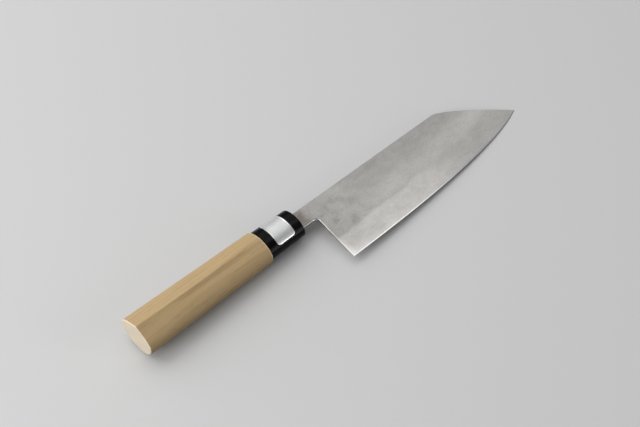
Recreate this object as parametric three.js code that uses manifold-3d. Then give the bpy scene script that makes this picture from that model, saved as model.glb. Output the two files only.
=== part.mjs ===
// A santoku with an angled point: a laminated blade in a ridged wooden handle with a black ferrule.
// Millimetres. +X runs along the handle from the butt to the point, +Y towards the spine and
// +Z out of the blade's right face. The origin is the middle of the flat butt.
import * as THREE from 'three';
import { mergeVertices, toCreasedNormals } from 'three/addons/utils/BufferGeometryUtils.js';
import Module from 'manifold-3d';

const wasm = await Module();
wasm.setup();

// Wooden grip, from the butt to the seat of the ferrule
const gripLength = 94.2;
const buttWidth = 26.5;
const buttBelly = 11.2; // axis to underside
const buttRidge = 10.3; // axis to ridge
const buttRidgeFall = 27; // degrees each flank drops beside the ridge
const frontWidth = 23.6;
const frontBelly = 9.7;
const frontRidge = 8.7;
const frontRidgeFall = 7;
const gripRounding = 0.8;

// Shape of the grip's section: the pull of its curves, as shares of its height and half width
const buttCheek = 0.5;
const buttCrown = 0.42;
const frontCheek = 0.62;
const frontCrown = 0.55;
const bellyFullness = 0.62;

// Wooden tenon inside the ferrule
const tenonWidth = 16.6;
const tenonDepth = 11.8;
const tenonRecess = 0.6; // end of the tenon, back from the ferrule's mouth

// Black ferrule, an oval ring that narrows to its mouth
const ferruleLength = 27.7;
const ferruleBackWidth = 22;
const ferruleBackDepth = 16;
const ferruleMouthWidth = 20.6;
const ferruleMouthDepth = 15.5;
const ferruleRounding = 0.7;

// Foil label wrapped over the ferrule
const labelLength = 14;
const labelFromMouth = 7.1;
const labelWrap = 112; // degrees round the oval
const labelCorner = 2;
const labelThickness = 0.12;

// Outline of the blade
const edgeLength = 165; // heel to point
const bladeHeight = 47.1; // spine to edge at the heel
const spineHeight = 5; // spine above the handle's axis
const neckLength = 12.5; // ferrule to the top of the choil
const neckHeight = 12;
const choilRadius = 2;
const heelSetback = 2.3; // heel behind the top of the choil
const heelFlat = 8; // straight edge at the heel
const bellySweep = 35; // length of the last rise of the edge to the point
const pointDrop = 33; // spine to point
const clipLength = 45.7; // clipped corner to point, along the handle
const clipAngle = 22.8; // degrees the clip leaves the spine at
const clipLead = 18; // how long it holds that direction
const clipEase = 2; // rounding of the clipped corner

// Thickness of the blade, tapering from the neck to the point
const neckThickness = 2.8;
const clipThickness = 1.7;
const pointThickness = 0.5;
const coreThickness = 1.2; // hard steel, at the neck
const shoulderThickness = 0.3; // above the edge bevel, at the neck
const bevelHeight = 0.8;
const grindPower = 0.85; // below 1 the faces bulge
const spineEase = 0.3;

// Tang in the handle, and the resin it is set in
const tangLength = 78;
const tangTop = 3.5; // above the axis at the tenon's end
const tangBottom = 5; // below the axis at the tenon's end
const tangTailTop = 1.5;
const tangTailBottom = 2.5;
const tangTailThickness = 1.8;
const resinThickness = 0.8;

// Clearances
const fitGap = 0.1; // between seated pieces
const labelGap = 0.04;

// Fineness of the curved faces
const quarterSteps = 14;
const roundingSteps = 3;
const stationSpacing = 4;
const coreRows = 4;
const claddingRows = 6;
const overrun = 5; // how far a cutter passes what it cuts
const halvings = 40; // steps in the search for a place on a curve
const weldDistance = 1e-4; // corners this close are one corner
const creaseAngle = Math.PI / 6; // sharper edges are shaded as edges

// Places along the handle that follow from the sizes
const mouthX = gripLength + ferruleLength;
const tenonEndX = mouthX - tenonRecess;
const shoulderX = tenonEndX + fitGap;
const tangTailX = tenonEndX - tangLength;
const mortiseEndX = tangTailX - resinThickness;
const choilX = mouthX + neckLength;
const heelX = choilX - heelSetback;
const pointX = heelX + edgeLength;
const clipX = pointX - clipLength;
const edgeY = spineHeight - bladeHeight;
const pointY = spineHeight - pointDrop;
const neckBottomY = spineHeight - neckHeight;

const lerp = THREE.MathUtils.lerp;
const clipTurn = THREE.MathUtils.degToRad(clipAngle);

// Blade outline: the edge rises to the point, the spine is clipped down to it
const edgeCurve = new THREE.QuadraticBezierCurve(
  new THREE.Vector2(heelX + heelFlat, edgeY),
  new THREE.Vector2(pointX - bellySweep, edgeY),
  new THREE.Vector2(pointX, pointY),
);
const clipDirection = new THREE.Vector2(Math.cos(clipTurn), -Math.sin(clipTurn));
const clipCorner = new THREE.Vector2(clipX, spineHeight);
const clipStart = clipCorner.clone().addScaledVector(clipDirection, clipEase);
const cornerCurve = new THREE.QuadraticBezierCurve(
  new THREE.Vector2(clipX - clipEase, spineHeight),
  clipCorner,
  clipStart,
);
const clipCurve = new THREE.QuadraticBezierCurve(
  clipStart,
  clipCorner.clone().addScaledVector(clipDirection, clipLead),
  new THREE.Vector2(pointX, pointY),
);

// Height of a curve that never turns back along X
function heightOn(curve, x) {
  let low = 0;
  let high = 1;
  for (let step = 0; step < halvings; step++) {
    const middle = (low + high) / 2;
    if (curve.getPoint(middle).x < x) {
      low = middle;
    } else {
      high = middle;
    }
  }
  return curve.getPoint(high).y;
}

function spineAt(x) {
  if (x <= cornerCurve.v0.x) {
    return spineHeight;
  }
  return heightOn(x <= clipStart.x ? cornerCurve : clipCurve, x);
}

function edgeAt(x) {
  return x <= edgeCurve.v0.x ? edgeY : heightOn(edgeCurve, x);
}

function thicknessAt(x) {
  if (x <= mouthX) {
    return lerp(tangTailThickness, neckThickness, (x - tangTailX) / (mouthX - tangTailX));
  }
  if (x <= clipX) {
    return lerp(neckThickness, clipThickness, (x - mouthX) / (clipX - mouthX));
  }
  return lerp(clipThickness, pointThickness, (x - clipX) / clipLength);
}

// A closed skin over rings of points. Each ring runs counter-clockwise when it is seen from the
// rings after it. The two ends are capped, or joined to each other in a looped skin.
function skin(rings, looped = false) {
  const points = rings.flat();
  const count = rings[0].length;
  const index = [];
  const spans = looped ? rings.length : rings.length - 1;
  for (let ring = 0; ring < spans; ring++) {
    const here = ring * count;
    const next = ((ring + 1) % rings.length) * count;
    for (let side = 0; side < count; side++) {
      const after = (side + 1) % count;
      index.push(here + side, here + after, next + after);
      index.push(here + side, next + after, next + side);
    }
  }
  if (!looped) {
    const last = points.length - count;
    for (const [a, b, c] of capFaces(rings[0])) {
      index.push(c, b, a);
    }
    for (const [a, b, c] of capFaces(rings[rings.length - 1])) {
      index.push(last + a, last + b, last + c);
    }
  }
  const geometry = new THREE.BufferGeometry().setFromPoints(points);
  geometry.setIndex(index);
  return welded(geometry);
}

// Triangles over a flat ring, in the plane that its first corners set
function capFaces(ring) {
  const size = new THREE.Box3().setFromPoints(ring).getSize(new THREE.Vector3());
  if (size.length() === 0) {
    return [];
  }
  const across = new THREE.Vector3().subVectors(ring[1], ring[0]).normalize();
  const facing = new THREE.Vector3();
  for (let corner = 0; corner < ring.length; corner++) {
    const after = ring[(corner + 1) % ring.length];
    facing.add(new THREE.Vector3().crossVectors(ring[corner], after));
  }
  const upward = new THREE.Vector3().crossVectors(facing.normalize(), across);
  const contour = ring.map((point) => new THREE.Vector2(point.dot(across), point.dot(upward)));
  return THREE.ShapeUtils.triangulateShape(contour, []);
}

// Shared corners, without the triangles that have shrunk to a line
function welded(geometry) {
  geometry.deleteAttribute('normal');
  geometry.deleteAttribute('uv');
  const merged = mergeVertices(geometry, weldDistance);
  const corners = merged.index.array;
  const kept = [];
  for (let face = 0; face < corners.length; face += 3) {
    const [a, b, c] = corners.slice(face, face + 3);
    if (a !== b && b !== c && c !== a) {
      kept.push(a, b, c);
    }
  }
  merged.setIndex(kept);
  return merged;
}

function toSolid(geometry) {
  const vertProperties = new Float32Array(geometry.attributes.position.array);
  const triVerts = new Uint32Array(geometry.index.array);
  return new wasm.Manifold(new wasm.Mesh({ numProp: 3, vertProperties, triVerts }));
}

function toGeometry(solid) {
  const mesh = solid.getMesh();
  const geometry = new THREE.BufferGeometry();
  geometry.setAttribute('position', new THREE.BufferAttribute(mesh.vertProperties, 3));
  geometry.setIndex(new THREE.BufferAttribute(mesh.triVerts, 1));
  return geometry;
}

// A cutter that goes through the whole thickness of the blade
function throughCut(outline) {
  const depth = 2 * (neckThickness + overrun);
  const geometry = new THREE.ExtrudeGeometry(outline, { depth, bevelEnabled: false });
  geometry.translate(0, 0, -depth / 2);
  return toSolid(welded(geometry));
}

// The open notch behind the heel, under the neck and the tang
function choilCut() {
  const corner = new THREE.Vector2(choilX, neckBottomY);
  const heel = new THREE.Vector2(heelX, edgeY);
  const down = heel.clone().sub(corner).normalize();
  const below = heel.clone().addScaledVector(down, overrun);
  const bend = corner.clone().addScaledVector(down, choilRadius);
  const outline = new THREE.Shape();
  outline.moveTo(tangTailX - overrun, -tangTailBottom);
  outline.lineTo(tangTailX - overrun, below.y);
  outline.lineTo(below.x, below.y);
  outline.lineTo(bend.x, bend.y);
  outline.quadraticCurveTo(corner.x, corner.y, corner.x - choilRadius, corner.y);
  outline.lineTo(shoulderX, neckBottomY);
  outline.lineTo(shoulderX, -tangBottom);
  outline.lineTo(tangTailX, -tangTailBottom);
  return throughCut(outline);
}

// The waste above the tang
function tangTopCut() {
  const outline = new THREE.Shape();
  outline.moveTo(tangTailX - overrun, tangTailTop);
  outline.lineTo(tangTailX, tangTailTop);
  outline.lineTo(shoulderX, tangTop);
  outline.lineTo(shoulderX, spineHeight + overrun);
  outline.lineTo(tangTailX - overrun, spineHeight + overrun);
  return throughCut(outline);
}

// Where the blade is measured along X: at each change of its taper, and evenly between
function bladeStations() {
  const places = [tangTailX, mouthX, clipX, pointX, edgeCurve.v0.x];
  for (const step of [0, 0.25, 0.5, 0.75, 1]) {
    places.push(cornerCurve.getPoint(step).x);
  }
  const fixed = places.length;
  for (let x = mouthX + stationSpacing; x < pointX; x += stationSpacing) {
    if (places.slice(0, fixed).every((place) => Math.abs(place - x) > stationSpacing / 4)) {
      places.push(x);
    }
  }
  return [...new Set(places)].sort((a, b) => a - b);
}

// Half thickness of the ground faces, as a share of that at the spine
const shoulderShare = shoulderThickness / neckThickness;
const coreShare = coreThickness / neckThickness;
const bevelRow = bevelHeight / bladeHeight;
const claddingRow = rowWithShare(coreShare);

function shareAtRow(row) {
  const rise = (row - bevelRow) / (1 - bevelRow);
  return shoulderShare + (1 - shoulderShare) * rise ** grindPower;
}

function rowWithShare(share) {
  const rise = ((share - shoulderShare) / (1 - shoulderShare)) ** (1 / grindPower);
  return bevelRow + (1 - bevelRow) * rise;
}

// One cross-section of the blade, given as rows from the edge (0) to the spine (1)
function bladeSection(x) {
  const bottom = edgeAt(x);
  const top = spineAt(x);
  const half = x === pointX ? 0 : thicknessAt(x) / 2;
  const ease = (spineEase * half) / (neckThickness / 2);
  const easedRow = top - bottom > ease ? 1 - ease / (top - bottom) : 1;
  const onFace = (row) => new THREE.Vector3(x, lerp(bottom, top, row), half * shareAtRow(row));
  const edge = new THREE.Vector3(x, bottom, 0);
  const core = [];
  for (let row = 0; row <= coreRows; row++) {
    core.push(onFace(lerp(bevelRow, claddingRow, row / coreRows)));
  }
  const cladding = [];
  for (let row = 0; row <= claddingRows; row++) {
    cladding.push(onFace(lerp(claddingRow, easedRow, row / claddingRows)));
  }
  const coreTop = new THREE.Vector3(x, top, half * coreShare);
  const easedTop = new THREE.Vector3(x, top, half - ease);
  return { edge, core, cladding, coreTop, easedTop };
}

const mirrored = (point) => new THREE.Vector3(point.x, point.y, -point.z);

function coreRing(section) {
  const right = [section.coreTop, ...section.core.toReversed()];
  const left = [...section.core.map(mirrored), mirrored(section.coreTop)];
  return [section.edge, ...left, ...right];
}

function claddingRing(section) {
  const [line, ...face] = section.cladding;
  return [line, section.coreTop, section.easedTop, ...face.toReversed()];
}

// The three layers of the blade, cut to one outline
function bladeLayers() {
  const sections = bladeStations().map(bladeSection);
  const waste = choilCut().add(tangTopCut());
  const layer = (rings) => toGeometry(toSolid(skin(rings)).subtract(waste));
  return {
    core: layer(sections.map(coreRing)),
    right: layer(sections.map(claddingRing)),
    left: layer(sections.map((section) => claddingRing(section).map(mirrored).toReversed())),
  };
}

// Steps of a rounded end: how far along it is, and how far in from the full section
function roundedEnd(rounding) {
  const steps = [];
  for (let step = 0; step <= roundingSteps; step++) {
    const turn = (step / roundingSteps) * (Math.PI / 2);
    steps.push({ along: rounding * (1 - Math.cos(turn)), inset: rounding * (1 - Math.sin(turn)) });
  }
  return steps;
}

function ovalRing(x, halfWidth, halfDepth) {
  const oval = new THREE.EllipseCurve(0, 0, halfWidth, halfDepth);
  const points = oval.getPoints(4 * quarterSteps).slice(0, 4 * quarterSteps);
  return points.map((point) => new THREE.Vector3(x, point.x, point.y));
}

// Grip across its length: two flanks that rise to a ridge, over a full round belly
function gripRing(x, inset) {
  const along = x / gripLength;
  const side = lerp(buttWidth, frontWidth, along) / 2 - inset;
  const belly = lerp(buttBelly, frontBelly, along) - inset;
  const ridge = lerp(buttRidge, frontRidge, along) - inset;
  const fall = Math.tan(THREE.MathUtils.degToRad(lerp(buttRidgeFall, frontRidgeFall, along)));
  const cheek = ridge * lerp(buttCheek, frontCheek, along);
  const crown = side * lerp(buttCrown, frontCrown, along);
  const path = new THREE.Path();
  path.moveTo(side, 0);
  path.bezierCurveTo(side, cheek, crown, ridge - crown * fall, 0, ridge);
  path.bezierCurveTo(-crown, ridge - crown * fall, -side, cheek, -side, 0);
  path.bezierCurveTo(-side, -belly * bellyFullness, -side * bellyFullness, -belly, 0, -belly);
  path.bezierCurveTo(side * bellyFullness, -belly, side, -belly * bellyFullness, side, 0);
  const points = path.getPoints(quarterSteps).slice(0, 4 * quarterSteps);
  return points.map((point) => new THREE.Vector3(x, point.x, point.y));
}

// Rectangles along the tang, grown on every side
function tangRing(x, along, growth) {
  const low = -lerp(tangTailBottom, tangBottom, along) - growth;
  const high = lerp(tangTailTop, tangTop, along) + growth;
  const half = lerp(tangTailThickness, neckThickness, along) / 2 + growth;
  return [
    new THREE.Vector3(x, low, -half),
    new THREE.Vector3(x, high, -half),
    new THREE.Vector3(x, high, half),
    new THREE.Vector3(x, low, half),
  ];
}

// The tang's own taper, grown on every side and open past the tenon's end
function tangSleeve(tailX, growth) {
  return skin([
    tangRing(tailX, 0, growth),
    tangRing(tenonEndX, 1, growth),
    tangRing(mouthX + overrun, 1, growth),
  ]);
}

function handleGeometry() {
  const rings = [];
  for (const { along, inset } of roundedEnd(gripRounding)) {
    rings.push(gripRing(along, inset));
  }
  for (const { along, inset } of roundedEnd(gripRounding).toReversed()) {
    rings.push(gripRing(gripLength - along, inset));
  }
  rings.push(ovalRing(gripLength, tenonWidth / 2, tenonDepth / 2));
  rings.push(ovalRing(tenonEndX, tenonWidth / 2, tenonDepth / 2));
  const mortise = toSolid(tangSleeve(mortiseEndX, resinThickness));
  return toGeometry(toSolid(skin(rings)).subtract(mortise));
}

function resinGeometry() {
  const filling = skin([
    tangRing(mortiseEndX + fitGap, 0, resinThickness - fitGap),
    tangRing(tenonEndX, 1, resinThickness - fitGap),
  ]);
  const hollow = tangSleeve(tangTailX - fitGap, fitGap);
  return toGeometry(toSolid(filling).subtract(toSolid(hollow)));
}

// Half width and half depth of the ferrule's outside
function ferruleHalves(x) {
  const along = (x - gripLength) / ferruleLength;
  return {
    width: lerp(ferruleBackWidth, ferruleMouthWidth, along) / 2,
    depth: lerp(ferruleBackDepth, ferruleMouthDepth, along) / 2,
  };
}

function ferruleGeometry() {
  const rings = [];
  const outside = (x, inset) => {
    const { width, depth } = ferruleHalves(x);
    return ovalRing(x, width - inset, depth - inset);
  };
  for (const { along, inset } of roundedEnd(ferruleRounding)) {
    rings.push(outside(gripLength + along, inset));
  }
  for (const { along, inset } of roundedEnd(ferruleRounding).toReversed()) {
    rings.push(outside(mouthX - along, inset));
  }
  const boreWidth = tenonWidth / 2 + fitGap;
  const boreDepth = tenonDepth / 2 + fitGap;
  rings.push(ovalRing(mouthX, boreWidth, boreDepth));
  rings.push(ovalRing(gripLength, boreWidth, boreDepth));
  return skin(rings, true);
}

// A sheet that follows the ferrule, with rounded corners
function labelGeometry() {
  const frontX = mouthX - labelFromMouth;
  const backX = frontX - labelLength;
  const { width, depth } = ferruleHalves((frontX + backX) / 2);
  const middle = Math.PI / 2;
  const reach = THREE.MathUtils.degToRad(labelWrap / 2);
  const arc = new THREE.EllipseCurve(0, 0, width, depth, middle - reach, middle + reach);
  const arcLength = arc.getLength();
  const ends = roundedEnd(labelCorner);
  const places = ends.map(({ along, inset }) => ({ place: along, inset }));
  for (let step = 1; step < quarterSteps * 2; step++) {
    const place = lerp(labelCorner, arcLength - labelCorner, step / (quarterSteps * 2));
    places.push({ place, inset: 0 });
  }
  for (const { along, inset } of ends.toReversed()) {
    places.push({ place: arcLength - along, inset });
  }
  const rings = places.map(({ place, inset }) => {
    const turn = lerp(middle - reach, middle + reach, arc.getUtoTmapping(place / arcLength));
    const onFerrule = (x, lift) => {
      const halves = ferruleHalves(x);
      const y = (halves.width + lift) * Math.cos(turn);
      return new THREE.Vector3(x, y, (halves.depth + lift) * Math.sin(turn));
    };
    const outer = labelGap + labelThickness;
    return [
      onFerrule(backX + inset, labelGap),
      onFerrule(frontX - inset, labelGap),
      onFerrule(frontX - inset, outer),
      onFerrule(backX + inset, outer),
    ];
  });
  return skin(rings);
}

const hardSteel = new THREE.MeshStandardMaterial({ color: 0xc9ccce, metalness: 1, roughness: 0.28 });
const softSteel = new THREE.MeshStandardMaterial({ color: 0xa9abad, metalness: 1, roughness: 0.42 });
const magnolia = new THREE.MeshStandardMaterial({ color: 0xc7a982, metalness: 0, roughness: 0.6 });
const blackRing = new THREE.MeshStandardMaterial({ color: 0x121212, metalness: 0, roughness: 0.25 });
const foil = new THREE.MeshStandardMaterial({ color: 0xb9bcc0, metalness: 1, roughness: 0.35 });
const resin = new THREE.MeshStandardMaterial({ color: 0xb58a4c, metalness: 0, roughness: 0.5 });

function piece(name, geometry, material) {
  const mesh = new THREE.Mesh(toCreasedNormals(geometry, creaseAngle), material.clone());
  mesh.name = name;
  return mesh;
}

function assembly(name, pieces) {
  const group = new THREE.Group();
  group.name = name;
  group.add(...pieces);
  return group;
}

const layers = bladeLayers();
const blade = assembly('blade', [
  piece('blade_core', layers.core, hardSteel),
  piece('cladding_right', layers.right, softSteel),
  piece('cladding_left', layers.left, softSteel),
]);
const hilt = assembly('hilt', [
  piece('handle', handleGeometry(), magnolia),
  piece('ferrule', ferruleGeometry(), blackRing),
  piece('ferrule_label', labelGeometry(), foil),
  piece('tang_resin', resinGeometry(), resin),
]);

export default assembly('santoku', [blade, hilt]);
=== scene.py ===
"""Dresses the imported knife: finer pieces, finishes, a pale floor, soft light and the camera."""

import math

import bmesh
import bpy
from bpy.props import FloatProperty, FloatVectorProperty, PointerProperty
from bpy.types import Operator, Panel, PropertyGroup
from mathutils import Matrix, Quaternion, Vector


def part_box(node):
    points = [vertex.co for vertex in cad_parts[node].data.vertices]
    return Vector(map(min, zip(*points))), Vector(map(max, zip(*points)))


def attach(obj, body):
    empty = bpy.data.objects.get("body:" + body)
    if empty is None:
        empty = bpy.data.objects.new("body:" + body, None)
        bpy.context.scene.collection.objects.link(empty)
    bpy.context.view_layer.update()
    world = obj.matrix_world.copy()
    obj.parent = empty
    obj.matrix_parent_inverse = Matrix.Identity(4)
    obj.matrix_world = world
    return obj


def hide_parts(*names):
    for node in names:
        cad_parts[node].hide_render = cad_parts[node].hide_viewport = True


bl_info = {
    "name": "Laminated kitchen knife",
    "version": (1, 0, 0),
    "blender": (4, 5, 0),
    "location": "3D View > Sidebar > Knife",
    "description": "Makes the pieces and finishes of a wooden-handled knife over its packed frame",
    "category": "Object",
}

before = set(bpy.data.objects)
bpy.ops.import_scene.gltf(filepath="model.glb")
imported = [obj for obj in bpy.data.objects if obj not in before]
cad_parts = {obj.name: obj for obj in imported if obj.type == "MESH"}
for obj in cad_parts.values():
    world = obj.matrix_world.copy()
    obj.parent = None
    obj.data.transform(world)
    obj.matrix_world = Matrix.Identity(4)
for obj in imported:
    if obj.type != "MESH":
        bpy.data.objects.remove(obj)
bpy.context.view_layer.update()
blade_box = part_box("blade_core")
handle_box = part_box("handle")
ferrule_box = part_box("ferrule")
label_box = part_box("ferrule_label")
resin_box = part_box("tang_resin")

ROUND_COUNT = 96  # points round an oval rim
CURVE_STEPS = 20  # points on each curve of the grip's section
GRIP_CUTS = 7  # rims between the grip's two ends
RIM_STEPS = 4  # strips of a rounded rim
CORNER_STEPS = 6  # strips of a rounded corner
GRIND_ROWS = (0, 0.03, 0.07, 0.13, 0.2, 0.3, 0.42, 0.56, 0.7, 0.85, 1)  # shares of a ground face
SPINE_ROWS = ((0.3, 0.4), (0, 1.4))  # drop and thinning of the rounded spine, in spine eases
CUT_SNAP = 1e-7  # metres within which a cut between layers runs through a point
SAME_PLACE = 1e-6  # metres within which two places are one
LAYER_MERGE = 4e-6  # metres within which a layer's points are joined
NOTCH_MARGIN = 1e-5  # metres by which the notch's sharp edges may lie off it
NECK_SHARP = 1e-4  # metres of the neck at the ferrule that stay sharp
SHARP_ANGLE = 1  # radians past which an edge of the notch is rounded
ROUNDED_ANGLE = math.radians(35)  # below which the rounded notch is shaded as one
GROUND_CREASE = 5  # degrees below which ground steel is shaded as one
SMOOTH_CREASE = 30  # the same for wood, ring and foil
TANG_CENTRE = -0.0002  # metres from the axis to the line that the neck narrows about
TANG_START = (1, 0.70, 0.97)  # tang at the neck, in sizes of the neck
TANG_TAIL = (1, 0.48, 0.66)  # end of the tang, in sizes of its start
MORTISE_TAIL = (1, 0.56, 0.8)  # inner end of the mortise, in sizes of its mouth
MORTISE_LEAD = 0.002  # metres that its cutter stands out of the tenon
NOTCH_LEAD = 0.02  # metres that the notch's cutter starts behind the neck
NOTCH_REACH = 0.01  # metres that it stands out to each side
FOIL_FIELD = "field"  # group of the label's points inside its rim
FOIL_MASK = "field_mask"  # the same as an attribute: 0 on the rim, 1 inside it

# Soft square lamps: place from the aim, side and power, and whether gloss mirrors the lamp
LAMPS = {
    "left_light": ((-1.02, 0.30, 0.70), 1.6, 6.5, True),
    "far_light": ((-0.38, 1.10, 0.90), 1.75, 11.5, True),
    "back_light": ((0.68, 0.61, 1.20), 1.3, 3.9, True),
    "top_light": ((0.54, 0.02, 1.07), 0.36, 0.45, True),
    "right_light": ((0.46, -0.80, 0.42), 0.3, 0.8, True),
    "low_light": ((0.45, -0.88, 0.21), 0.16, 0.5, True),
    "butt_light": ((-0.95, 0.06, 0.22), 0.4, 2.4, False),
}


def length(name, description, default):
    """A size in metres."""
    return FloatProperty(
        name=name, description=description, default=default, min=0, precision=5, unit="LENGTH"
    )


def turn(name, description, degrees):
    """An angle, given in degrees."""
    return FloatProperty(
        name=name, description=description, default=math.radians(degrees), unit="ROTATION"
    )


def share(name, description, default):
    """A part of a whole, from 0 to 1."""
    return FloatProperty(
        name=name, description=description, default=default, min=0, max=1, subtype="FACTOR"
    )


def tone(name, description, default):
    """A colour, in linear light."""
    return FloatVectorProperty(
        name=name, description=description, default=default, size=3, min=0, max=1, subtype="COLOR"
    )


class HandleProperties(PropertyGroup):
    """Sizes and colours of the wooden handle."""

    grip_length: length("Grip length", "Butt to the seat of the ferrule", ferrule_box[0].x)
    butt_width: length("Butt width", "Across the butt", 0.0265)
    butt_belly: length("Butt belly", "Axis to underside at the butt", -handle_box[0].z)
    butt_ridge: length("Butt ridge", "Axis to ridge at the butt", handle_box[1].z)
    butt_fall: turn("Butt fall", "Slope of the flanks beside the ridge at the butt", 27)
    butt_cheek: share("Butt cheek", "Pull of the flanks at the butt, of the ridge's height", 0.5)
    butt_crown: share("Butt crown", "Run beside the ridge at the butt, of the half width", 0.42)
    front_width: length("Front width", "Across the front", 0.0236)
    front_belly: length("Front belly", "Axis to underside at the front", 0.0097)
    front_ridge: length("Front ridge", "Axis to ridge at the front", 0.0087)
    front_fall: turn("Front fall", "Slope of the flanks beside the ridge at the front", 7)
    front_cheek: share("Front cheek", "Pull of the flanks in front, of the ridge's height", 0.62)
    front_crown: share("Front crown", "Run beside the ridge at the front, of the half width", 0.55)
    fullness: share("Belly fullness", "Pull of the belly's curve", 0.62)
    ridge_softness: length("Ridge softness", "Half width of the worn ridge line", 0.0006)
    rim: length("Rim rounding", "Rounding of the two end rims", 0.0008)
    tenon_width: length("Tenon width", "Across the tenon in the ferrule", 0.0166)
    tenon_depth: length("Tenon depth", "Through the tenon in the ferrule", 0.0118)
    wood: tone("Wood", "Planed face of the wood", (0.612, 0.430, 0.218))
    streak: tone("Streaks", "Darker growth lines", (0.335, 0.213, 0.090))
    end_grain: tone("End grain", "Sawn end of the wood", (0.87, 0.76, 0.60))


class FerruleProperties(PropertyGroup):
    """Sizes and colours of the black ferrule and its label."""

    back_width: length("Back width", "Across the end at the wood", 0.022)
    back_depth: length("Back depth", "Through the end at the wood", 0.016)
    mouth_width: length("Mouth width", "Across the end at the blade", 0.0206)
    mouth_depth: length("Mouth depth", "Through the end at the blade", 0.0155)
    rim: length("Rim rounding", "Rounding of the outer rims", 0.0007)
    clearance: length("Clearance", "Between the tenon and the bore", 0.0001)
    label_width: length("Label width", "Round the ferrule", 0.0195)
    label_corner: length("Label corner", "Radius of the label's corners", 0.002)
    label_wrap: turn("Label wrap", "How far round the ferrule the label goes", 112)
    label_lift: length("Label lift", "Glue under the label", 0.00004)
    label_thickness: length("Label thickness", "Thickness of the foil's rim", 0.00012)
    label_rim: length("Label rim", "Width of the label's raised rim", 0.0008)
    black: tone("Black", "Polished ring", (0.0035, 0.0033, 0.0033))
    foil: tone("Foil", "Label foil", (0.80, 0.80, 0.80))
    foil_rim: tone("Foil rim", "Bright rim of the label", (0.96, 0.96, 0.96))


class BladeProperties(PropertyGroup):
    """Sizes and colours of the blade."""

    neck_start: length("Neck start", "Shoulder in the ferrule's mouth", handle_box[1].x + 0.0001)
    neck_height: length("Neck height", "Spine to the underside of the neck", 0.012)
    choil: length("Choil", "Top of the choil, along the knife", 0.1344)
    choil_radius: length("Choil radius", "Rounding between neck and choil", 0.002)
    heel_setback: length("Heel setback", "Heel behind the top of the choil", 0.0023)
    neck_thickness: length("Neck thickness", "Spine at the ferrule", 0.0028)
    clip: length("Clipped corner", "Where the spine turns down, along the knife", 0.2514)
    clip_thickness: length("Clip thickness", "Spine at the clipped corner", 0.0017)
    point_thickness: length("Point thickness", "Spine just behind the point", 0.0005)
    shoulder: share("Shoulder", "Thickness above the edge bevel, as a share of the spine's", 0.107)
    grind_power: share("Grind power", "Below 1 the ground faces bulge", 0.85)
    bevel: length("Edge bevel", "Height of the bevel at the edge", 0.0008)
    spine_ease: length("Spine ease", "Rounding of the spine", 0.00035)
    choil_ease: length("Choil ease", "Rounding of the choil where it is thickest", 0.001)
    core_share: share("Core share", "Hard steel, as a share of the thickness", 0.4286)
    tang_length: length("Tang length", "Tang in the handle", 0.078)
    heel_flat: length("Heel flat end", "Where the edge starts to rise, along the knife", 0.1401)
    belly_pull: length("Belly pull", "Where the rise of the edge aims from", 0.2621)
    point_drop: length("Point drop", "Point below the axis", 0.028)
    line_height: length("Lamination line", "Hard steel shown above the edge", 0.0160)
    line_wave: length("Line wave", "How far the line wanders", 0.0008)
    wave_length: length("Wave length", "Length of one wander", 0.041)
    bright_steel: tone("Hard steel", "Polished hard steel", (0.548, 0.53, 0.509))
    hazy_steel: tone("Soft steel", "Hazy soft steel", (0.443, 0.43, 0.414))
    hard_side: share("Hard side", "Brightness of the core's polished sides", 0.62)
    soft_side: share("Soft side", "Brightness of the outer layers' polished sides", 0.70)
    stain: tone("Stain", "Brown stain of the neck and heel", (0.240, 0.213, 0.190))


class StageProperties(PropertyGroup):
    """Camera, floor and light."""

    azimuth: turn("Azimuth", "Camera's bearing from the knife", -138.09)
    elevation: turn("Elevation", "Camera's height angle", 52.7)
    roll: turn("Roll", "Camera's tilt", 5.655)
    distance: length("Distance", "Camera to the point it looks at", 0.729)
    aim: FloatVectorProperty(
        name="Aim", description="Point at the middle of the picture", size=3,
        default=(0.1388, -0.0052, 0), subtype="TRANSLATION", unit="LENGTH",
    )
    lens: FloatProperty(name="Lens", description="Focal length in mm", default=66.5, min=1)
    tip_down: turn("Tip down", "How far the resting knife tips on to its point", 2.28)
    edge_down: turn("Edge down", "How far the resting knife rolls on to its edge", 3.29)
    floor_size: length("Floor size", "Side of the floor, which runs out of every view", 80)
    floor_near: length("Near floor", "How far from the aim the floor shows only its shading", 0.24)
    floor_far: length("Far floor", "How far from the aim it has faded to the backdrop", 0.62)
    floor: tone("Floor", "Pale floor", (0.74, 0.74, 0.735))
    backdrop: tone("Backdrop", "Even tone that the floor fades to", (0.62, 0.62, 0.616))
    bounce: tone("Bounce", "What the floor throws back as soft light", (0.18, 0.18, 0.18))
    sky: tone("Room", "Light of the room", (0.80, 0.81, 0.83))
    sky_strength: share("Room strength", "Strength of the room's light", 0.2)


class Field:
    """A socket whose value changes over a surface. Arithmetic on it adds Math nodes."""

    def __init__(self, finish, socket):
        self.finish = finish
        self.socket = socket

    def joined(self, operation, first, second):
        return self.finish.node("ShaderNodeMath", {"operation": operation}, {0: first, 1: second})

    def __add__(self, other):
        return self.joined("ADD", self, other)

    def __radd__(self, other):
        return self.joined("ADD", other, self)

    def __sub__(self, other):
        return self.joined("SUBTRACT", self, other)

    def __rsub__(self, other):
        return self.joined("SUBTRACT", other, self)

    def __mul__(self, other):
        return self.joined("MULTIPLY", self, other)

    def __rmul__(self, other):
        return self.joined("MULTIPLY", other, self)

    def __truediv__(self, other):
        return self.joined("DIVIDE", self, other)

    def __pow__(self, other):
        return self.joined("POWER", self, other)

    def at_least(self, other):
        return self.joined("MAXIMUM", self, other)


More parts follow.
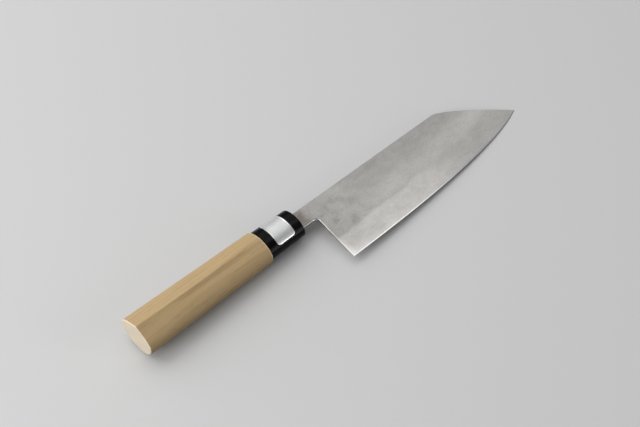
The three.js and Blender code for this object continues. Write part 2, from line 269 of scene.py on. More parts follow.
class Finish:
    """A material, and the nodes that its patterns are made of."""

    def __init__(self, name):
        self.material = bpy.data.materials.new(name)
        self.material.use_nodes = True
        self.tree = self.material.node_tree
        self.shader = self.tree.nodes["Principled BSDF"]

    def node(self, kind, settings, sockets, output=0):
        """Adds a node, sets it up, feeds its sockets and gives one of its outputs."""
        made = self.tree.nodes.new(kind)
        for name, value in settings.items():
            setattr(made, name, value)
        for key, value in sockets.items():
            self.feed(made.inputs[key], value)
        return Field(self, made.outputs[output])

    def feed(self, socket, value):
        if isinstance(value, Field):
            self.tree.links.new(value.socket, socket)
        else:
            socket.default_value = value

    def surface(self, values):
        """Feeds the shader's own sockets."""
        for name, value in values.items():
            self.feed(self.shader.inputs[name], value)

    def place(self):
        return self.node("ShaderNodeTexCoord", {}, {}, "Object")

    def normal(self):
        return self.node("ShaderNodeTexCoord", {}, {}, "Normal")

    def parts(self, vector):
        """The three numbers of a vector."""
        return [self.node("ShaderNodeSeparateXYZ", {}, {0: vector}, axis) for axis in "XYZ"]

    def noise(self, vector, scale, detail, roughness):
        sockets = {"Vector": vector, "Scale": scale, "Detail": detail, "Roughness": roughness}
        return self.node("ShaderNodeTexNoise", {}, sockets)

    def grain(self, vector, squeeze, scale, detail, roughness):
        """Noise drawn out along the knife, more where the squeeze is smaller."""
        sockets = {"Vector": vector, "Scale": (squeeze, 1, 1)}
        drawn_out = self.node("ShaderNodeMapping", {}, sockets)
        return self.noise(drawn_out, scale, detail, roughness)

    def wave(self, value):
        return self.node("ShaderNodeMath", {"operation": "SINE"}, {0: value})

    def step(self, value, low, high):
        """Rises smoothly from 0 to 1 between two values."""
        sockets = {"Value": value, "From Min": low, "From Max": high}
        return self.node("ShaderNodeMapRange", {"interpolation_type": "SMOOTHSTEP"}, sockets)

    def blend(self, mask, first, second):
        """Goes from one colour to another with a mask."""
        sockets = {0: mask, 6: colour(first), 7: colour(second)}
        return self.node("ShaderNodeMix", {"data_type": "RGBA"}, sockets, 2)

    def shaded(self, tint, value):
        """A colour times a number."""
        sockets = {0: tint, "Scale": value}
        return self.node("ShaderNodeVectorMath", {"operation": "SCALE"}, sockets)

    def bump(self, height, depth, strength):
        sockets = {"Height": height, "Distance": depth, "Strength": strength}
        return self.node("ShaderNodeBump", {}, sockets)


def colour(value):
    """A stored colour as a socket takes it, or a field as it is."""
    return value if isinstance(value, Field) else (*value, 1.0)


def underside(blade):
    """How high the underside of the neck lies."""
    return blade_box[1].y - blade.neck_height


def ground_steel(name, blade, side_shade):
    """Ground steel: hazy above a soft wandering line, brighter below it, stained at the neck, with
    painted highlights and painted shade.

    Where a mask rises is given in metres: x from the butt, and height from the edge.
    """
    finish = Finish(name)
    step = finish.step
    place = finish.place()
    x, y, _ = finish.parts(place)
    _, upward, facing = finish.parts(finish.normal())

    # Height above the edge, which rises to the point on one quadratic curve
    edge_y = blade_box[0].y
    reach = 2 * (blade.belly_pull - blade.heel_flat)
    bend = 2 * blade.belly_pull - blade.heel_flat - blade_box[1].x
    run = (x - blade.heel_flat).at_least(0)
    along = (reach - (reach**2 - 4 * bend * run) ** 0.5) / (2 * bend)
    height = y - edge_y + (blade.point_drop + edge_y) * along**2

    # The lamination line wanders, comes down towards the point and is lost there
    cloud = finish.noise(place, 55, 4, 0.62)
    mottle = finish.grain(place, 0.55, 210, 5, 0.68)
    speckle = finish.noise(place, 1100, 2, 0.6)
    wave_start = 1.3
    wave_turn = x * (2 * math.pi / blade.wave_length) + wave_start
    wander = finish.wave(wave_turn) * blade.line_wave
    line = (blade.line_height + wander) * (1 - 0.45 * step(x, 0.200, 0.262))
    over = height - line + (mottle - 0.5) * 0.007 + (cloud - 0.5) * 0.002
    blur = 0.0012 + 0.0045 * step(x, 0.195, 0.235)
    hard = step(over / blur, 1, -1) * step(x, 0.262, 0.200)

    # Haze: clouds and fine grinding lines
    lines = finish.grain(place, 0.05, 5200, 2, 0.6)
    haze_and_painted_light = 0.40 + 0.36 * cloud + 0.44 * mottle + 0.38 * speckle + 0.10 * lines

    # Painted highlights along the middle, the edge, the heel's edge, the choil, its upper end
    # and the point, in that order, and painted shade at the spine and above the heel
    lean = blade.heel_setback / (underside(blade) - edge_y)
    past_choil = x - blade.choil + blade.heel_setback - height * lean
    middle = step(height, 0.013, 0.021) * step(height, 0.034, 0.023)
    painted_highlights = (
        middle * (0.13 * step(x, 0.150, 0.185) + 0.06 * step(x, 0.250, 0.266)),
        0.20 * step(height, 0.006, 0.001) * step(x, 0.200, 0.155),
        0.10 * step(height, 0.012, 0.002) * step(x, 0.152, 0.134),
        0.40 * step(past_choil, 0.0050, 0.0006) * step(height, 0.017, 0.009),
        0.36 * step(past_choil, 0.0013, 0.0004) * step(height, 0.0345, 0.0325),
        0.05 * step(x, 0.245, 0.266),
    )
    for light in painted_highlights:
        haze_and_painted_light = haze_and_painted_light + light
    painted_shade_spine = 0.10 * step(height, 0.024, 0.040) * step(x, 0.150, 0.180)
    painted_shade_heel = 0.07 * step(x, 0.172, 0.142)
    haze_and_painted_light = haze_and_painted_light - painted_shade_spine - painted_shade_heel
    steel = finish.blend(hard, blade.hazy_steel, blade.bright_steel)

    # Brown stain on the neck and in patches over the heel, and pits where the steel was forged
    neck = step(x + (cloud - 0.5) * 0.016, 0.1365, 0.1235)
    heel = step(x, 0.172, 0.140) * step(height, 0.014, 0.020)
    patches = step(finish.noise(place, 105, 1, 0.45), 0.46, 0.72)
    brown = neck * (0.42 + 0.72 * mottle) + 0.55 * heel * patches
    stained = finish.blend(brown, steel, blade.stain)
    pits = step(finish.noise(place, 700, 1, 0.5), 0.66, 0.74)
    pitted = pits * step(x, 0.185, 0.138) * (1 - hard)
    face = finish.shaded(stained, haze_and_painted_light * (1 - 0.30 * pitted))

    # The bevel at the edge and the sides of spine and choil are polished; painted shade dims
    # the bevel towards the point and the downward sides under the neck
    on_bevel = step(height, blade.bevel * 1.05, blade.bevel * 0.95)
    edged = on_bevel * step(x, 0.128, 0.131)
    flat = step(facing * facing, 0.62, 0.90) * (1 - edged)
    painted_shade_point = 1 - 0.5 * edged * step(x, 0.190, 0.250)
    under_neck = step(x, 0.1326, 0.1308) * step(upward, -0.2, -0.6)
    painted_side_shade = painted_shade_point * (1 - 0.55 * under_neck)
    polished = finish.shaded((side_shade, side_shade, side_shade * 0.985), painted_side_shade)
    side_rough = 0.26
    face_rough = 0.40 - 0.05 * hard + 0.10 * (cloud - 0.5) + 0.06 * (lines - 0.5)
    finish.surface({
        "Base Color": finish.blend(flat, polished, face),
        "Metallic": 1.0,
        "Roughness": side_rough + (face_rough - side_rough) * flat,
        "Normal": finish.bump(lines * 0.5 + cloud + 0.4 * speckle, 0.000004, 0.35),
    })
    return finish.material


def magnolia_wood(handle):
    """Pale straight-grained wood, with darker growth lines, creamy ends, painted shade beside the
    ridge and painted highlights on the end rims and the front rim.
    """
    finish = Finish("magnolia_wood")
    step = finish.step
    place = finish.place()
    x, y, z = finish.parts(place)
    facing, _, _ = finish.parts(finish.normal())

    # Growth rings round a heart that lies outside the handle
    heart_y = 0.034
    heart_z = -0.047
    ring_width = 0.0021
    drift = finish.grain(place, 0.12, 90, 2, 0.5)
    ring = ((y - heart_y) ** 2 + (z - heart_z) ** 2) ** 0.5 + drift * 0.0022 + x * 0.006
    rings = 0.5 + 0.5 * finish.wave(ring * (2 * math.pi / ring_width))
    fibres = finish.grain(place, 0.018, 2600, 3, 0.6)
    pores = finish.grain(place, 0.06, 6500, 1, 0.5)
    patches = finish.grain(place, 0.25, 130, 3, 0.55)

    # Darker streaks, most of them below the ridge, which they cross towards the front,
    # and painted shade in a band just below the ridge
    bands = finish.grain(place, 0.030, 620, 2, 0.5)
    streaks = step(bands, 0.52, 0.66)
    forward = step(x, 0.045, 0.070)
    drifted = y - 0.0016 * forward
    below = step(drifted, 0.0003, -0.0006) * step(drifted, -0.0075, -0.0015)
    streaks_and_ridge_shade = below * step(z, 0, 0.004) * (0.05 + 0.10 * streaks + 0.20 * forward)
    short = finish.grain(place, 0.10, 1500, 2, 0.6)
    flecks = step(short, 0.52, 0.72)
    dark = 0.16 * rings**3 + 0.18 * streaks + 0.22 * flecks + streaks_and_ridge_shade
    face = finish.blend(dark, handle.wood, handle.streak)

    # Sawn ends, with a painted highlight at their rims, and a painted highlight on the rim in front
    sawn = step(facing * facing, 0.02, 0.40)
    rim = 1 - step(facing * facing, 0.80, 0.98)
    sawn_end = finish.blend(0.22 * rings**2, handle.end_grain, handle.wood)
    tint = finish.blend(sawn, face, finish.shaded(sawn_end, 0.93 + 0.12 * fibres + 0.14 * rim))
    weather = 0.82 + 0.20 * fibres + 0.18 * patches - 0.10 * step(pores, 0.62, 0.75)
    painted_front_highlight = step(handle.grip_length - x, 0.0015, 0.0006)
    finish.surface({
        "Base Color": finish.shaded(tint, weather + 0.30 * painted_front_highlight),
        "Roughness": 0.52 + 0.14 * fibres + 0.1 * sawn,
        "Normal": finish.bump(fibres + 0.4 * pores + 0.3 * rings, 0.00003, 0.5),
    })
    return finish.material


def black_resin(ferrule):
    """Polished black ring, faintly streaked, with fine rubbing marks."""
    finish = Finish("black_resin")
    place = finish.place()
    streaks = finish.grain(place, 0.15, 700, 3, 0.55)
    rubbed = finish.noise(place, 1400, 3, 0.6)
    streaked = finish.step(streaks, 0.4, 0.8)
    brown = (0.009, 0.0078, 0.0072)
    finish.surface({
        "Base Color": finish.blend(streaked, ferrule.black, brown),
        "Roughness": 0.15 + 0.12 * rubbed,
        "Specular IOR Level": 0.09,
        "Normal": finish.bump(rubbed + streaks, 0.000006, 0.4),
    })
    return finish.material


def label_foil(ferrule):
    """Bare satin foil with a bright rim."""
    finish = Finish("foil")
    place = finish.place()
    field = finish.node("ShaderNodeAttribute", {"attribute_name": FOIL_MASK}, {}, "Fac")
    grain = finish.noise(place, 3800, 2, 0.55)
    crinkle = finish.noise(place, 260, 3, 0.5)
    satin = finish.shaded(ferrule.foil, 0.84 + 0.2 * grain + 0.12 * crinkle)
    finish.surface({
        "Base Color": finish.blend(field, ferrule.foil_rim, satin),
        "Metallic": 0.75,
        "Roughness": 0.26 + 0.14 * field + 0.12 * grain,
        "Normal": finish.bump(crinkle + 0.3 * grain, 0.00002, 0.35),
    })
    return finish.material


def set_resin():
    """Amber glue, clouded, that shows round the tang."""
    finish = Finish("tang_resin")
    cloud = finish.noise(finish.place(), 700, 3, 0.6)
    dark_amber = (0.30, 0.20, 0.09)
    pale_amber = (0.46, 0.33, 0.17)
    finish.surface({
        "Base Color": finish.blend(cloud, dark_amber, pale_amber),
        "Roughness": 0.34 + 0.2 * cloud,
        "Normal": finish.bump(cloud, 0.00004, 0.5),
    })
    return finish.material


def start_edit():
    """Opens the active object's mesh."""
    bpy.ops.object.mode_set(mode="EDIT")


def end_edit():
    """Goes back to object mode."""
    bpy.ops.object.mode_set(mode="OBJECT")


def pick_where(kind, test):
    """Selects the points or the edges of the open mesh that pass a test."""
    mesh = bpy.context.edit_object.data
    bpy.ops.mesh.select_mode(type=kind)
    bpy.ops.mesh.select_all(action="DESELECT")
    shape = bmesh.from_edit_mesh(mesh)
    for part in shape.verts if kind == "VERT" else shape.edges:
        part.select_set(test(part))
    shape.select_flush_mode()
    bmesh.update_edit_mesh(mesh)


def pick(inside):
    """Selects the points of the open mesh whose places pass a test."""
    pick_where("VERT", lambda point: inside(point.co))


def at(place, other):
    """Whether two places along an axis are the same."""
    return abs(place - other) < SAME_PLACE


def middle_of(edge):
    """The place halfway along an edge."""
    return (edge.verts[0].co + edge.verts[1].co) / 2


def extrude(step, size=(1, 1, 1), centre=(0, 0, 0)):
    """Draws the selected rim out by a step, then sizes it about a centre."""
    bpy.ops.mesh.extrude_edges_move(TRANSFORM_OT_translate={"value": step})
    bpy.ops.transform.resize(value=size, center_override=centre)


def extrude_end(step, size, centre):
    """Draws the selected faces out by a step, then sizes them about a centre."""
    bpy.ops.mesh.extrude_region_move(TRANSFORM_OT_translate={"value": step})
    bpy.ops.transform.resize(value=size, center_override=centre)


def add_oval(x, width, depth, count):
    """Adds an oval rim across the handle's axis."""
    bpy.ops.mesh.primitive_circle_add(
        vertices=count, radius=0.5, location=(x, 0, 0), rotation=(0, math.pi / 2, 0)
    )
    bpy.ops.transform.resize(value=(1, width, depth), center_override=(x, 0, 0))


def pick_all():
    """Selects all of the open mesh."""
    bpy.ops.mesh.select_all(action="SELECT")


def face_outward():
    """Turns all faces of the open mesh outwards."""
    pick_all()
    bpy.ops.mesh.normals_make_consistent()


def drop_selection():
    """Deselects all objects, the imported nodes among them."""
    bpy.ops.object.select_all(action="DESELECT")


def select_only(piece):
    """Selects one object and makes it the active one."""
    drop_selection()
    piece.select_set(True)
    bpy.context.view_layer.objects.active = piece


def apply_modifiers(piece):
    """Applies a piece's modifiers in their order."""
    bpy.context.view_layer.objects.active = piece
    for modifier in list(piece.modifiers):
        bpy.ops.object.modifier_apply(modifier=modifier.name)


def cut(piece, cutter):
    """Takes the shape of a cutter out of a piece."""
    modifier = piece.modifiers.new("cut", "BOOLEAN")
    modifier.operation = "DIFFERENCE"
    modifier.object = cutter
    apply_modifiers(piece)
    bpy.data.objects.remove(cutter)


def add_block(low, high):
    """Adds a block between two corners, with its place in its mesh."""
    drop_selection()
    bpy.ops.mesh.primitive_cube_add(size=1, location=(low + high) / 2, scale=high - low)
    bpy.ops.object.transform_apply()
    return bpy.context.object


def finish_piece(piece, name, node, material, crease=SMOOTH_CREASE, rounded=None):
    """Names a modelled piece, shades it, gives it its finish and puts it in the frame.

    Faces are shaded as one below the crease, in degrees, and at edges that pass the test rounded.
    """
    select_only(piece)
    bpy.ops.object.transform_apply()
    bpy.ops.object.shade_smooth_by_angle(angle=math.radians(crease))
    if rounded:
        start_edit()
        pick_where("EDGE", rounded)
        bpy.ops.mesh.mark_sharp(clear=True)
        end_edit()
    piece.modifiers.new("flat_faces", "WEIGHTED_NORMAL").keep_sharp = True
    apply_modifiers(piece)
    piece.name = name
    piece.data.name = name
    piece.data.materials.clear()
    piece.data.materials.append(material)
    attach(piece, "root")
    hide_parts(node)


class KNIFE_OT_blade(Operator):
    """Draws the blade out as a sheet, grinds it, cuts the choil and parts it in three layers"""

    bl_idname = "knife.blade"
    bl_label = "Blade layers"

    def outline(self, blade):
        """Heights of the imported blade's spine and edge at each station along it."""
        heights = {}
        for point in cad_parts["blade_core"].data.vertices:
            if point.co.x > blade.choil:
                heights.setdefault(round(point.co.x, 6), []).append(point.co.y)
        first = min(heights)
        stations = {blade.neck_start: (max(heights[first]), min(heights[first]))}
        stations |= {x: (max(heights[x]), min(heights[x])) for x in sorted(heights)}
        return stations

    def rows(self, blade):
        """Rows of the ground face from edge to spine, as shares of the height and the thickness."""
        tall = blade_box[1].y - blade_box[0].y
        start = blade.bevel / tall
        eased = 1 - blade.spine_ease / tall
        rows = [(0, 0)]
        for step in GRIND_ROWS:
            thick = blade.shoulder + (1 - blade.shoulder) * step**blade.grind_power
            rows.append((start + (eased - start) * step, thick))
        for drop, thinning in SPINE_ROWS:
            thick = 1 - blade.spine_ease * thinning / blade.neck_thickness
            rows.append((1 - blade.spine_ease * drop / tall, thick))
        return rows

    def thickness(self, x, blade):
        """Thickness of the spine."""
        if x < blade.clip:
            along = (x - blade.neck_start) / (blade.clip - blade.neck_start)
            return blade.neck_thickness + (blade.clip_thickness - blade.neck_thickness) * along
        along = (x - blade.clip) / (blade_box[1].x - blade.clip)
        return blade.clip_thickness + (blade.point_thickness - blade.clip_thickness) * along

    def draw_sheet(self, stations, rows):
        """Draws a flat sheet with the blade's outline, from the neck to the point."""
        places = list(stations)
        top, bottom = stations[places[0]]
        drop_selection()
        bpy.ops.mesh.primitive_plane_add(size=1)
        sheet = bpy.context.object
        start_edit()
        pick(lambda point: point.x > 0 or point.y > 0)
        bpy.ops.mesh.delete(type="VERT")
        pick_all()
        bpy.ops.transform.translate(value=(places[0] + 0.5, bottom + 0.5, 0))
        for (here, _), (after, _) in zip(rows, rows[1:]):
            rise = (after - here) * (top - bottom)
            bpy.ops.mesh.extrude_vertices_move(TRANSFORM_OT_translate={"value": (0, rise, 0)})
        pick_all()
        for here, after in zip(places, places[1:]):
            old_top, old_bottom = stations[here]
            top, bottom = stations[after]
            size = (1, (top - bottom) / (old_top - old_bottom), 1)
            extrude((after - here, top - old_top, 0), size, (after, top, 0))
        end_edit()
        return sheet

    def grind(self, sheet, stations, rows, blade):
        """Gives the sheet its thickness, from nothing at the edge to the full spine."""
        ground = sheet.vertex_groups.new(name="ground")
        for index, point in enumerate(sheet.data.vertices):
            x = min(stations, key=lambda place: abs(place - point.co.x))
            top, bottom = stations[x]
            if top - bottom < SAME_PLACE:
                continue
            row = (point.co.y - bottom) / (top - bottom)
            thick = min(rows, key=lambda pair: abs(pair[0] - row))[1]
            ground.add([index], thick * self.thickness(x, blade) / blade.neck_thickness, "REPLACE")
        solid = sheet.modifiers.new("thick", "SOLIDIFY")
        solid.thickness = blade.neck_thickness
        solid.offset = 0
        solid.vertex_group = ground.name
        apply_modifiers(sheet)
        start_edit()
        pick_all()
        bpy.ops.mesh.remove_doubles(threshold=SAME_PLACE)
        face_outward()
        end_edit()

    def cut_choil(self, sheet, blade):
        """Cuts the notch behind the heel, under the neck."""
        under = underside(blade)
        tall = under - blade_box[0].y
        low = Vector((blade.neck_start - NOTCH_LEAD, blade_box[0].y - tall, -NOTCH_REACH))
        high = Vector((blade.choil, under, NOTCH_REACH))
        cutter = add_block(low, high)
        start_edit()
        pick(lambda point: at(point.x, high.x) and at(point.y, low.y))
        bpy.ops.transform.translate(value=(-2 * blade.heel_setback, 0, 0))
        pick(lambda point: at(point.x, high.x) and at(point.y, high.y))
        bpy.ops.mesh.bevel(offset=blade.choil_radius, segments=CORNER_STEPS)
        end_edit()
        cut(sheet, cutter)

    def in_notch(self, place, blade, margin):
        """Whether a place lies on the choil or under the neck, give or take a margin."""
        behind = blade.neck_start + NECK_SHARP < place.x < blade.choil + margin
        return behind and blade_box[0].y + blade.bevel < place.y < underside(blade) + margin

    def round_choil(self, sheet, blade):
        """Rounds the choil and the underside of the neck, less where the blade is thinner."""
        shape = bmesh.new()
        shape.from_mesh(sheet.data)
        weight = shape.edges.layers.float.new("bevel_weight_edge")
        for edge in shape.edges:
            middle = middle_of(edge)
            notch = self.in_notch(middle, blade, NOTCH_MARGIN)
            if notch and edge.is_manifold and edge.calc_face_angle() > SHARP_ANGLE:
                edge[weight] = abs(middle.z) * 2 / blade.neck_thickness
        shape.to_mesh(sheet.data)
        shape.free()
        rounded = sheet.modifiers.new("rounded", "BEVEL")
        rounded.limit_method = "WEIGHT"
        rounded.width = blade.choil_ease
        rounded.segments = RIM_STEPS
        rounded.use_clamp_overlap = False
        apply_modifiers(sheet)

    def draw_tang(self, sheet, blade):
        """Draws the tang back from the neck's shoulder into the handle."""
        start = blade.neck_start
        tail = (start - blade.tang_length, 0, 0)
        start_edit()
        pick(lambda point: at(point.x, start))
        extrude_end((0, 0, 0), TANG_START, (start, TANG_CENTRE, 0))
        extrude_end((tail[0] - start, 0, 0), TANG_TAIL, tail)
        end_edit()

    def part_layer(self, whole, blade, sides):
        """Copies the whole blade and cuts it down to one of its layers."""
        select_only(whole)
        bpy.ops.object.duplicate()
        layer = bpy.context.object
        half = blade.neck_thickness * blade.core_share / 2
        clip_half = blade.clip_thickness * blade.core_share / 2
        taper = (half - clip_half) / (blade.clip - blade.neck_start)
        start_edit()
        for side, inner in sides:
            pick_all()
            bpy.ops.mesh.bisect(
                plane_co=(blade.neck_start, 0, side * half),
                plane_no=(taper, 0, side),
                use_fill=True,
                clear_inner=inner,
                clear_outer=not inner,
                threshold=CUT_SNAP,
            )
        pick_all()
        bpy.ops.mesh.remove_doubles(threshold=LAYER_MERGE)
        face_outward()
        pick_where("VERT", lambda point: len(point.link_edges) == 2)
        bpy.ops.mesh.dissolve_verts()
        end_edit()
        return layer

    def execute(self, context):
        blade = context.scene.knife_blade
        stations = self.outline(blade)
        rows = self.rows(blade)
        whole = self.draw_sheet(stations, rows)
        self.grind(whole, stations, rows, blade)
        self.cut_choil(whole, blade)
        self.round_choil(whole, blade)
        self.draw_tang(whole, blade)
        hard = ground_steel("hard_steel", blade, blade.hard_side)
        soft = ground_steel("soft_steel", blade, blade.soft_side)

        def rounded(edge):
            notch = self.in_notch(middle_of(edge), blade, blade.choil_ease)
            return notch and edge.is_manifold and edge.calc_face_angle() < ROUNDED_ANGLE

        layers = (
            ("core_layer", "blade_core", "hard_steel", hard, ((1, False), (-1, False))),
            ("right_layer", "cladding_right", "soft_steel", soft, ((1, True),)),
            ("left_layer", "cladding_left", "soft_steel", soft, ((-1, True),)),
        )
        for name, node, slot, steel, sides in layers:
            layer = self.part_layer(whole, blade, sides)
            finish_piece(layer, name, node, steel, GROUND_CREASE, rounded)
        bpy.data.objects.remove(whole)
        return {"FINISHED"}


class KNIFE_OT_handle(Operator):
    """Shapes the wooden handle between two ridged sections, with its tenon and mortise"""

    bl_idname = "knife.handle"
    bl_label = "Handle"

    def draw_section(self, x, end, sizes):
        """Draws one section of the grip as a closed curve and makes it a rim of points."""
        parts = ("width", "belly", "ridge", "fall", "cheek", "crown")
        values = (getattr(sizes, f"{end}_{part}") for part in parts)
        width, belly, ridge, fall, cheek, crown = values
        side = width / 2
        slope = math.tan(fall)
        crown = side * crown
        cheek = ridge * cheek
        soft = sizes.ridge_softness
        worn = ridge - soft * slope
        worn_pull = worn + soft * slope / 2
        round_side = side * sizes.fullness
        round_belly = belly * sizes.fullness
        corners = (
            ((side, 0), (side, -round_belly), (side, cheek)),
            ((soft, worn), (crown, ridge - crown * slope), (soft / 2, worn_pull)),
            ((-soft, worn), (-soft / 2, worn_pull), (-crown, ridge - crown * slope)),
            ((-side, 0), (-side, cheek), (-side, -round_belly)),
            ((0, -belly), (-round_side, -belly), (round_side, -belly)),
        )
        drop_selection()
        bpy.ops.curve.primitive_bezier_circle_add(radius=side)
        outline = bpy.context.object
        outline.data.dimensions = "3D"
        spline = outline.data.splines[0]
        spline.resolution_u = CURVE_STEPS
        spline.bezier_points.add(len(corners) - len(spline.bezier_points))
        for point, (place, before, after) in zip(spline.bezier_points, corners):
            point.handle_left_type = "FREE"
            point.handle_right_type = "FREE"
            point.co = (x, *place)
            point.handle_left = (x, *before)
            point.handle_right = (x, *after)
        bpy.ops.object.convert(target="MESH")
        return bpy.context.object

    def cut_mortise(self, wood, gap):
        """Cuts the tapered slot that the tang is set in."""
        room = Vector((0, gap, gap))
        low = resin_box[0] - room
        high = resin_box[1] + room
        cutter = add_block(low, high)
        start_edit()
        pick(lambda point: at(point.x, low.x))
        bpy.ops.transform.resize(value=MORTISE_TAIL, center_override=(low.x, 0, 0))
        pick(lambda point: at(point.x, high.x))
        bpy.ops.transform.translate(value=(MORTISE_LEAD, 0, 0))
        end_edit()
        cut(wood, cutter)

    def execute(self, context):
        sizes = context.scene.knife_handle
        front = sizes.grip_length
        butt_section = self.draw_section(0, "butt", sizes)
        front_section = self.draw_section(front, "front", sizes)
        rim_count = len(front_section.data.vertices)
        butt_section.select_set(True)
        front_section.select_set(True)
        bpy.ops.object.join()
        wood = context.object
        start_edit()
        pick_all()
        bpy.ops.mesh.bridge_edge_loops(number_cuts=GRIP_CUTS, interpolation="LINEAR")
        pick(lambda point: at(point.x, 0))
        bpy.ops.mesh.edge_face_add()
        bpy.ops.mesh.select_all(action="DESELECT")
        add_oval(front, sizes.tenon_width, sizes.tenon_depth, rim_count)
        extrude((handle_box[1].x - front, 0, 0))
        bpy.ops.mesh.edge_face_add()
        pick(lambda point: at(point.x, front))
        bpy.ops.mesh.bridge_edge_loops()
        tenon = Vector((0, 2 / sizes.tenon_width, 2 / sizes.tenon_depth))
        past_tenon = 1.01

        def on_rim(point):
            return at(point.x, 0) or at(point.x, front) and (point * tenon).length > past_tenon

        pick(on_rim)
        bpy.ops.mesh.bevel(offset=sizes.rim, segments=RIM_STEPS)
        face_outward()
        end_edit()
        self.cut_mortise(wood, context.scene.knife_ferrule.clearance)
        finish_piece(wood, "handle_wood", "handle", magnolia_wood(sizes))
        return {"FINISHED"}


class KNIFE_OT_ferrule(Operator):
    """Draws the black oval ring out along the handle, hollows it and rounds its rims"""

    bl_idname = "knife.ferrule"
    bl_label = "Ferrule"

    def execute(self, context):
        sizes = context.scene.knife_ferrule
        wood = context.scene.knife_handle
        back = ferrule_box[0].x
        mouth = ferrule_box[1].x
        bore_width = wood.tenon_width + 2 * sizes.clearance
        bore_depth = wood.tenon_depth + 2 * sizes.clearance
        narrowing = (1, sizes.mouth_width / sizes.back_width, sizes.mouth_depth / sizes.back_depth)
        hollow = (1, bore_width / sizes.mouth_width, bore_depth / sizes.mouth_depth)
        drop_selection()
        bpy.ops.mesh.primitive_circle_add(
            vertices=ROUND_COUNT, radius=0.5, location=(back, 0, 0), rotation=(0, math.pi / 2, 0)
        )
        ring = context.object
        bpy.ops.object.transform_apply()
        start_edit()
        pick_all()
        oval = (1, sizes.back_width, sizes.back_depth)
        bpy.ops.transform.resize(value=oval, center_override=(back, 0, 0))
        extrude((mouth - back, 0, 0), narrowing, (mouth, 0, 0))
        extrude((0, 0, 0), hollow, (mouth, 0, 0))
        extrude((back - mouth, 0, 0))
        pick(lambda point: at(point.x, back))
        bpy.ops.mesh.bridge_edge_loops()
        mouth_oval = Vector((0, 2 / sizes.mouth_width, 2 / sizes.mouth_depth))
        outside = 0.99

        def on_rim(edge):
            first, second = (point.co for point in edge.verts)
            nearer = min((first * mouth_oval).length, (second * mouth_oval).length)
            return at(first.x, second.x) and nearer > outside

        pick_where("EDGE", on_rim)
        bpy.ops.mesh.bevel(offset=sizes.rim, segments=RIM_STEPS)
        face_outward()
        end_edit()
        finish_piece(ring, "ferrule_ring", "ferrule", black_resin(sizes))
        return {"FINISHED"}


class KNIFE_OT_label(Operator):
    """Cuts the label flat with round corners, bends it over the ferrule and gives it thickness"""

    bl_idname = "knife.label"
    bl_label = "Label"

    def cut_flat(self, size, sizes):
        """Cuts the label out of an upright sheet, with round corners and strips to bend at."""
        drop_selection()
        bpy.ops.mesh.primitive_plane_add(size=1, rotation=(math.pi / 2, 0, 0))
        label = bpy.context.object
        bpy.ops.object.transform_apply()
        start_edit()
        bpy.ops.transform.resize(value=(size, 1, sizes.label_width))
        bpy.ops.mesh.bevel(offset=sizes.label_corner, segments=CORNER_STEPS, affect="VERTICES")
        pick_all()
        bpy.ops.mesh.inset(thickness=sizes.label_rim)
        bpy.ops.mesh.inset(thickness=sizes.label_thickness)
        bpy.ops.object.vertex_group_add()
        bpy.ops.object.vertex_group_assign()
        label.vertex_groups.active.name = FOIL_FIELD
        strips = ROUND_COUNT // 2
        for strip in range(1, strips):
            pick_all()
            z = sizes.label_width * (strip / strips - 0.5)
            bpy.ops.mesh.bisect(plane_co=(0, 0, z), plane_no=(0, 0, 1))
        end_edit()
        return label

    def execute(self, context):
        sizes = context.scene.knife_ferrule
        low, high = label_box
        label = self.cut_flat(high.x - low.x, sizes)
        bent = label.modifiers.new("bent", "SIMPLE_DEFORM")
        bent.deform_method = "BEND"
        bent.angle = sizes.label_wrap
        apply_modifiers(label)
        radius = sizes.label_width / sizes.label_wrap
        width = (sizes.back_width + sizes.mouth_width) / 4
        depth = (sizes.back_depth + sizes.mouth_depth) / 4
        label.rotation_euler = (-math.pi / 2, 0, 0)
        label.location = ((low.x + high.x) / 2, 0, radius)
        bpy.ops.object.transform_apply()
        start_edit()
        pick_all()
        oval = (1, width / radius, depth / radius)
        bpy.ops.transform.resize(value=oval, center_override=(0, 0, 0))
        face_outward()
        end_edit()
        glued = label.modifiers.new("glued", "SHRINKWRAP")
        glued.target = bpy.data.objects["ferrule_ring"]
        glued.wrap_mode = "ABOVE_SURFACE"
        glued.offset = sizes.label_lift
        thick = label.modifiers.new("thick", "SOLIDIFY")
        thick.thickness = sizes.label_thickness
        thick.offset = 1
        thick.vertex_group = FOIL_FIELD
        thick.invert_vertex_group = True
        thick.thickness_vertex_group = 0.5
        apply_modifiers(label)
        field = label.data.attributes.new(FOIL_MASK, "FLOAT", "POINT")
        for point, value in zip(label.data.vertices, field.data):
            value.value = sum(group.weight for group in point.groups)
        finish_piece(label, "label_foil", "ferrule_label", label_foil(sizes))
        return {"FINISHED"}


class KNIFE_OT_resin(Operator):
    """Gives the set glue round the tang its finish"""

    bl_idname = "knife.resin"
    bl_label = "Tang resin"

    def execute(self, context):
        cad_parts["tang_resin"].material_slots[0].material = set_resin()
        return {"FINISHED"}


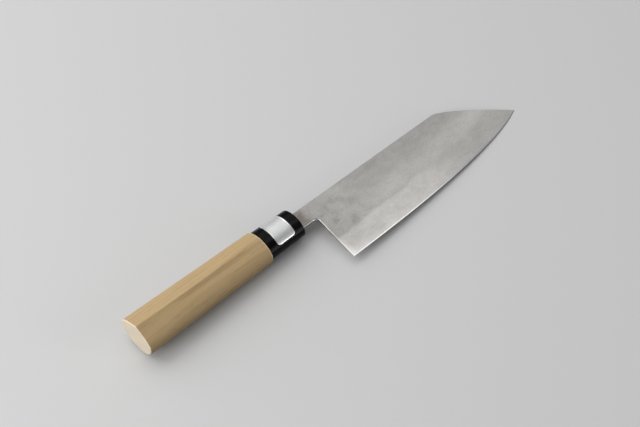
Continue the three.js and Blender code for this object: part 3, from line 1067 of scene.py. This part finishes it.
class KNIFE_OT_stage(Operator):
    """Lays the pale floor under the resting knife, and sets the light and the camera"""

    bl_idname = "knife.stage"
    bl_label = "Floor, light and camera"

    def lay_floor(self, stage):
        """Lays the floor where the knife rests: on the front of its wood and on its point."""
        up = Vector((-math.tan(stage.tip_down), math.tan(stage.edge_down), 1)).normalized()
        lowest = min(
            up.dot(point.co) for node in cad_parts.values() for point in node.data.vertices
        )
        aim = Vector(stage.aim)
        drop_selection()
        bpy.ops.mesh.primitive_plane_add(
            size=stage.floor_size,
            location=aim + up * (lowest - up.dot(aim)),
            rotation=up.to_track_quat("Z", "Y").to_euler(),
        )
        floor = bpy.context.object
        floor.name = "floor"
        paper = Finish("floor")
        rays = [f"Is {kind} Ray" for kind in ("Camera", "Glossy", "Transmission")]
        camera, glossy, through = (paper.node("ShaderNodeLightPath", {}, {}, ray) for ray in rays)
        seen = camera.at_least(glossy).at_least(through)
        x, y, _ = paper.parts(paper.place())
        far = paper.step(x * x + y * y, stage.floor_near**2, stage.floor_far**2)
        near_tone = paper.shaded(stage.floor, 1 - far)
        paper.surface({
            "Base Color": paper.blend(seen, stage.bounce, near_tone),
            "Emission Color": paper.shaded(stage.backdrop, seen * far),
            "Emission Strength": 1,
            "Roughness": 0.85,
            "Specular IOR Level": 0,
        })
        paper.material.cycles.emission_sampling = "NONE"
        floor.data.materials.append(paper.material)

    def add_light(self, name, place, size, power, mirrored):
        """Adds a soft square lamp that faces the knife, seen in its gloss if mirrored."""
        aim = Vector(bpy.context.scene.knife_stage.aim)
        place = Vector(place)
        bpy.ops.object.light_add(
            type="AREA", location=aim + place, rotation=place.to_track_quat("Z", "Y").to_euler()
        )
        light = bpy.context.object
        light.name = name
        light.data.size = size
        light.data.energy = power
        light.visible_glossy = mirrored

    def execute(self, context):
        stage = context.scene.knife_stage
        self.lay_floor(stage)
        for name, lamp in LAMPS.items():
            self.add_light(name, *lamp)

        room = bpy.data.worlds.new("room")
        room.use_nodes = True
        sky = room.node_tree.nodes["Background"].inputs
        sky["Color"].default_value = (*stage.sky, 1)
        sky["Strength"].default_value = stage.sky_strength
        context.scene.world = room
        context.scene.view_settings.view_transform = "Standard"

        back = Vector((
            math.cos(stage.elevation) * math.cos(stage.azimuth),
            math.cos(stage.elevation) * math.sin(stage.azimuth),
            math.sin(stage.elevation),
        ))
        facing = back.to_track_quat("Z", "Y") @ Quaternion((0, 0, 1), stage.roll)
        bpy.ops.object.camera_add(
            location=Vector(stage.aim) + back * stage.distance, rotation=facing.to_euler()
        )
        camera = context.object
        camera.data.lens = stage.lens
        context.scene.camera = camera
        return {"FINISHED"}


class KNIFE_PT_pieces(Panel):
    """Lists the knife's pieces and its stage"""

    bl_idname = "KNIFE_PT_pieces"
    bl_label = "Knife"
    bl_space_type = "VIEW_3D"
    bl_region_type = "UI"
    bl_category = "Knife"

    def draw(self, context):
        for operator in OPERATORS:
            self.layout.operator(operator.bl_idname)
        for name, group in PROPERTIES.items():
            box = self.layout.box()
            settings = getattr(context.scene, name)
            for key in group.__annotations__:
                box.prop(settings, key)


PROPERTIES = {
    "knife_blade": BladeProperties,
    "knife_handle": HandleProperties,
    "knife_ferrule": FerruleProperties,
    "knife_stage": StageProperties,
}
OPERATORS = (
    KNIFE_OT_blade,
    KNIFE_OT_handle,
    KNIFE_OT_ferrule,
    KNIFE_OT_label,
    KNIFE_OT_resin,
    KNIFE_OT_stage,
)


def register():
    for name, group in PROPERTIES.items():
        bpy.utils.register_class(group)
        setattr(bpy.types.Scene, name, PointerProperty(type=group))
    for made in (*OPERATORS, KNIFE_PT_pieces):
        bpy.utils.register_class(made)


def unregister():
    for made in (KNIFE_PT_pieces, *reversed(OPERATORS)):
        bpy.utils.unregister_class(made)
    for name, group in PROPERTIES.items():
        delattr(bpy.types.Scene, name)
        bpy.utils.unregister_class(group)


def main():
    register()
    bpy.ops.knife.blade()
    bpy.ops.knife.handle()
    bpy.ops.knife.ferrule()
    bpy.ops.knife.label()
    bpy.ops.knife.resin()
    bpy.ops.knife.stage()


if __name__ == "__main__":
    main()
